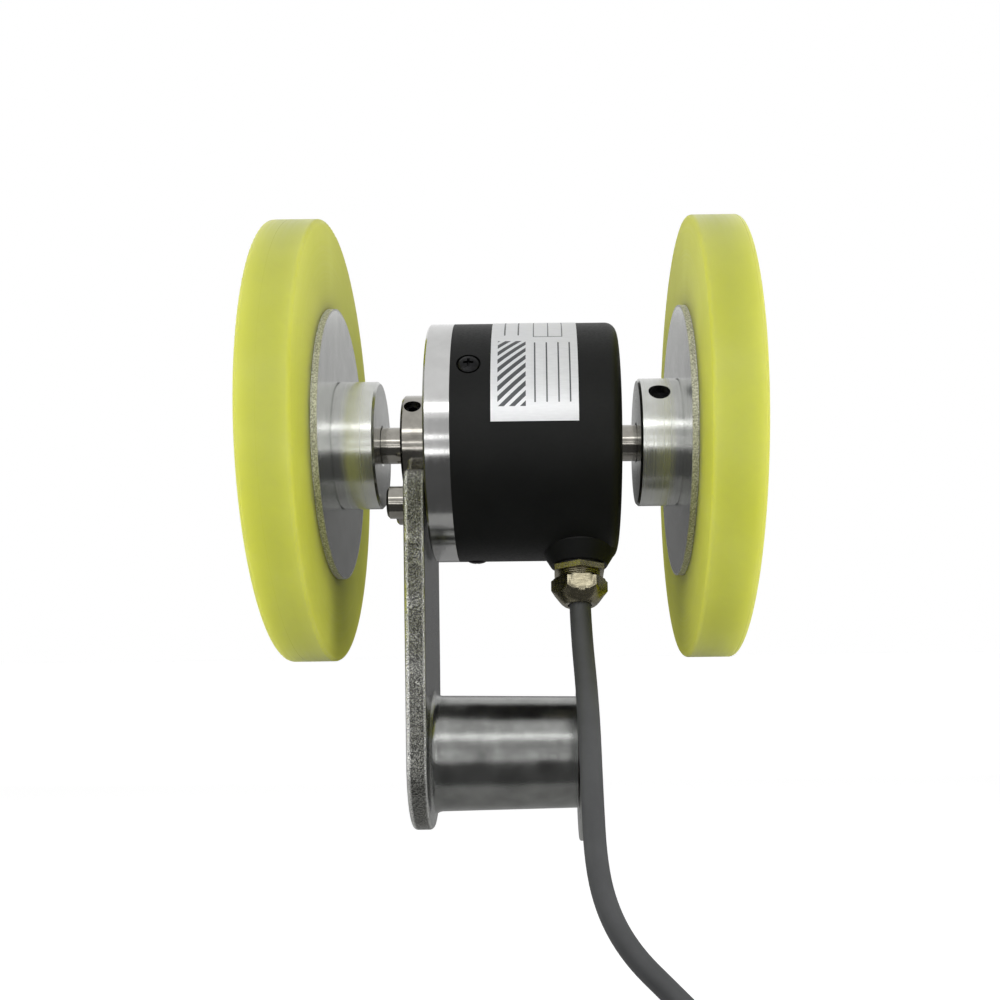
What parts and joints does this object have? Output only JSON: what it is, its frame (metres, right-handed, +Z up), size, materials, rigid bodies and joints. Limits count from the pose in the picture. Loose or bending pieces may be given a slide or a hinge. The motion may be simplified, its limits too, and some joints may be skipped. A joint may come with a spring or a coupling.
{
  "type": "measuring wheel encoder",
  "caption": "Measuring wheel encoder: polyurethane-tyred wheels on a shaft through a round encoder, on a sprung swing arm with a round base flange and a cable",
  "frame": {"origin": "centre of the base flange's mounting face, on the arm's pivot axis", "axes": "+X along the pivot and wheel shaft, out of the mounting face; +Y away from the viewer; +Z up from the pivot to the wheel shaft at rest"},
  "size_m": [0.1541, 0.0954, 0.1918],
  "materials": {
    "polyurethane": "translucent cast polyurethane",
    "turned_aluminium": "turned",
    "cast_metal": "die-cast, blasted",
    "bright_steel": "bright",
    "bearing_steel": "ground",
    "black_steel": "black oxide",
    "black_cover": "satin black",
    "nickel_brass": "nickel plated",
    "spring_steel": "drawn wire",
    "bush_bronze": "sintered bronze",
    "seal_rubber": "nitrile rubber",
    "board_laminate": "solder mask",
    "disc_film": "printed film on polycarbonate",
    "black_plastic": "moulded",
    "cable_sheath": "matte grey PVC",
    "lead_sheath": "coloured PVC",
    "tie_nylon": "black nylon"
  },
  "bodies": {
    "base": {"base_flange": "turned_aluminium", "pivot_pin": "bright_steel", "pivot_washer": "bright_steel", "pivot_screw": "black_steel", "torsion_spring": "spring_steel", "cable_tube": "cable_sheath", "cable_coil": "cable_sheath", "cable_tie": "tie_nylon", "cable_end": "cable_sheath", "cable_leads": "lead_sheath"},
    "arm": {"swing_arm": "cast_metal", "pivot_bush_left": "bush_bronze", "pivot_bush_right": "bush_bronze", "arm_screws": "bright_steel", "front_flange": "turned_aluminium", "rear_cover": "black_cover", "cover_screws": "black_steel", "cover_seal": "seal_rubber", "front_seal": "seal_rubber", "rear_seal": "seal_rubber", "front_bearing_outer_ring": "bearing_steel", "rear_bearing_outer_ring": "bearing_steel", "front_bearing_balls": "bearing_steel", "rear_bearing_balls": "bearing_steel", "bearing_spacer": "bright_steel", "bearing_retaining_ring": "spring_steel", "circuit_board": "board_laminate", "board_pillars": "bright_steel", "board_screws": "bright_steel", "fork_sensor": "black_plastic", "gland_washer": "seal_rubber", "gland_body": "nickel_brass", "gland_nut": "nickel_brass", "gland_seal": "seal_rubber"},
    "rotor": {"hollow_shaft": "bright_steel", "collar_screw": "black_steel", "front_bearing_inner_ring": "bearing_steel", "rear_bearing_inner_ring": "bearing_steel", "code_disc_hub": "turned_aluminium", "code_disc": "disc_film", "wheel_shaft": "bright_steel", "left_wheel_core": "turned_aluminium", "left_wheel_tyre": "polyurethane", "left_wheel_screw": "black_steel", "right_wheel_core": "turned_aluminium", "right_wheel_tyre": "polyurethane", "right_wheel_screw": "black_steel"}
  },
  "joints": [
    {"name": "arm_swing", "type": "hinge", "parent": "base", "child": "arm", "pos_m": [-0.02, 0, 0], "axis": [1, 0, 0], "range_deg": [-25, 25], "stiffness_Nm_per_rad": 2, "deforming": ["torsion_spring", "cable_tube"]},
    {"name": "wheel_spin", "type": "hinge", "parent": "arm", "child": "rotor", "pos_m": [-0.02, 0, 0.0685], "axis": [1, 0, 0], "continuous": true}
  ]
}
